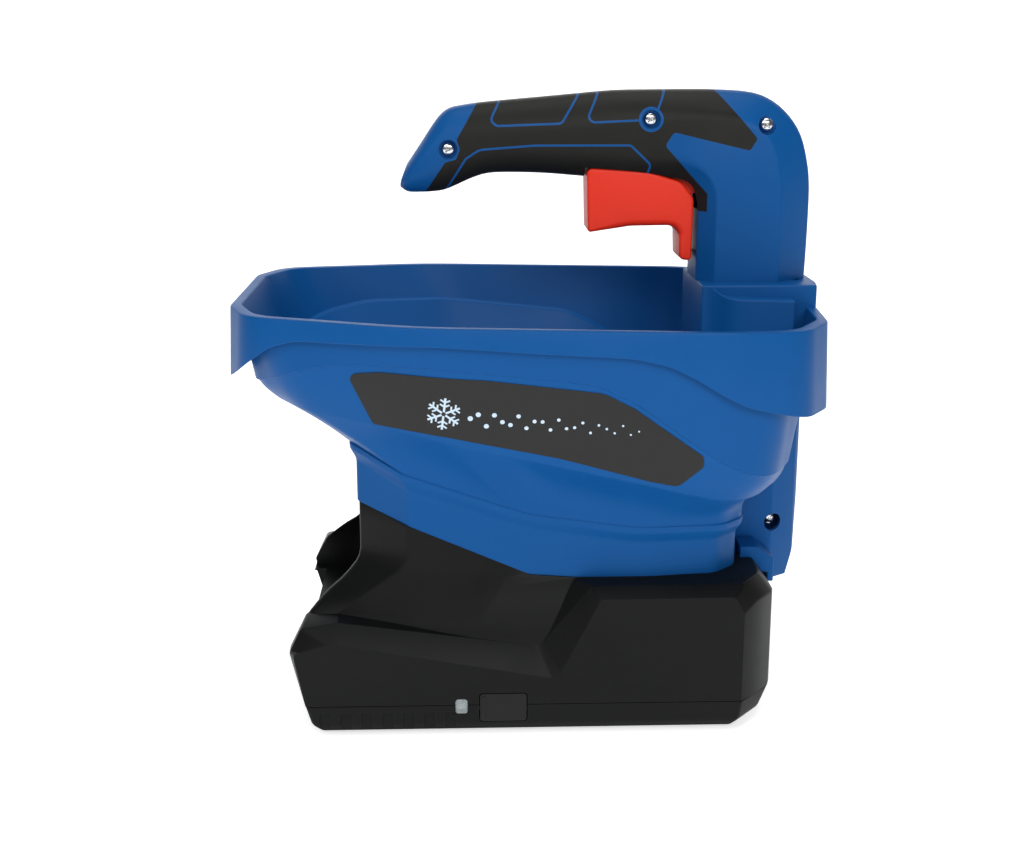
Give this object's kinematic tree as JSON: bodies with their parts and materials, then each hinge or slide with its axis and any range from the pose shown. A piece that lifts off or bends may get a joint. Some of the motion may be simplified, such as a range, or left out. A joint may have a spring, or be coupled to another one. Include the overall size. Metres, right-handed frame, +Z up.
{
  "type": "handheld salt spreader",
  "caption": "Battery handheld salt spreader: open hopper on a base with a front mouth, spinning disc, shutter worked by a trigger, and an overhanging grip.",
  "frame": {"origin": "on the ground under the middle of the overall box", "axes": "+Z up; the open mouth faces -X, the rear column stands at +X, -Y is the left side with the light and the charging flap"},
  "size_m": [0.285, 0.2094, 0.3037],
  "materials": {
    "blue_plastic": "fine moulded texture",
    "label_plastic": "satin inlay with fine sheen",
    "black_plastic": "fine spark-eroded texture",
    "soft_grip": "soft-touch overmould",
    "foot_rubber": "matt rubber",
    "red_plastic": "satin moulded",
    "steel": "drawn",
    "zinc_screws": "bright zinc plate",
    "dark_plastic": "moulded",
    "switch_red": "moulded",
    "nylon": "natural nylon",
    "brass": "turned",
    "motor_steel": "plated",
    "cell_wrap": "shrink sleeve",
    "board_green": "solder mask",
    "led_clear": "clear moulded",
    "wire_red": "insulation"
  },
  "bodies": {
    "frame": {"hopper": "blue_plastic", "hopper_label_left": "label_plastic", "hopper_label_right": "label_plastic", "base_housing": "black_plastic", "base_cover": "black_plastic", "handle_shell_left": "blue_plastic", "handle_shell_right": "blue_plastic", "grip_overmould_left": "soft_grip", "grip_overmould_right": "soft_grip", "trigger_pivot_pin": "steel", "trigger_spring": "steel", "micro_switch": "dark_plastic", "bell_crank_pin": "steel", "shutter_guide": "nylon", "motor": "motor_steel", "gearbox_plate": "motor_steel", "deck_bush": "brass", "shaft_foot_bush": "brass", "shaft_seal": "foot_rubber", "battery_cell_1": "cell_wrap", "battery_cell_2": "cell_wrap", "battery_holder": "dark_plastic", "control_board": "board_green", "charge_socket": "motor_steel", "status_led": "led_clear", "led_lens": "led_clear", "motor_wires": "wire_red", "battery_wires": "wire_red", "switch_wires": "wire_red", "handle_screws": "zinc_screws", "spine_screw": "zinc_screws", "base_screws": "zinc_screws", "hopper_screws": "zinc_screws", "motor_screws": "zinc_screws", "rubber_foot_1": "foot_rubber", "rubber_foot_2": "foot_rubber", "rubber_foot_3": "foot_rubber", "rubber_foot_4": "foot_rubber"},
    "trigger": {"trigger": "red_plastic"},
    "switch_button": {"switch_plunger": "switch_red"},
    "rod": {"push_rod": "steel"},
    "crank": {"bell_crank": "nylon"},
    "shutter_plate": {"shutter": "nylon"},
    "spinner": {"spinner_disc": "dark_plastic", "spinner_shaft": "steel", "agitator": "dark_plastic", "drive_gear": "nylon"},
    "pinion": {"motor_pinion": "brass", "motor_shaft": "steel"},
    "flap": {"charge_flap": "foot_rubber"}
  },
  "joints": [
    {"name": "trigger_pull", "type": "hinge", "parent": "frame", "child": "trigger", "pos_m": [0.099, 0, 0.262], "axis": [0, 1, 0], "range_deg": [0, 10], "stiffness_Nm_per_rad": 1, "springref_deg": -6.88, "deforming": ["trigger_spring"]},
    {"name": "switch_press", "type": "slide", "parent": "frame", "child": "switch_button", "axis": [0, 0, -1], "range_m": [0, 0.0016]},
    {"name": "rod_push", "type": "slide", "parent": "frame", "child": "rod", "axis": [0, 0, -1], "range_m": [0, 0.0044]},
    {"name": "crank_turn", "type": "hinge", "parent": "frame", "child": "crank", "pos_m": [0.114, 0, 0.096], "axis": [0, 1, 0], "range_deg": [0, 25.1]},
    {"name": "shutter_slide", "type": "slide", "parent": "frame", "child": "shutter_plate", "axis": [-1, 0, 0], "range_m": [0, 0.0114]},
    {"name": "spinner_turn", "type": "hinge", "parent": "frame", "child": "spinner", "pos_m": [-0.024, 0, 0.046], "axis": [0, 0, 1], "continuous": true},
    {"name": "pinion_turn", "type": "hinge", "parent": "frame", "child": "pinion", "pos_m": [0, 0, 0.027], "axis": [0, 0, 1], "continuous": true},
    {"name": "flap_open", "type": "hinge", "parent": "frame", "child": "flap", "pos_m": [-0.0244, -0.0792, 0.0145], "axis": [0, 0, -1], "range_deg": [0, 110], "stiffness_Nm_per_rad": 0.003}
  ],
  "couplings": [
    {"joint": "switch_press", "follows": "trigger_pull", "m_per_rad": 0.009},
    {"joint": "rod_push", "follows": "trigger_pull", "m_per_rad": 0.025},
    {"joint": "crank_turn", "follows": "trigger_pull", "ratio": 2.5},
    {"joint": "shutter_slide", "follows": "trigger_pull", "m_per_rad": 0.065},
    {"joint": "pinion_turn", "follows": "spinner_turn", "ratio": -4}
  ]
}
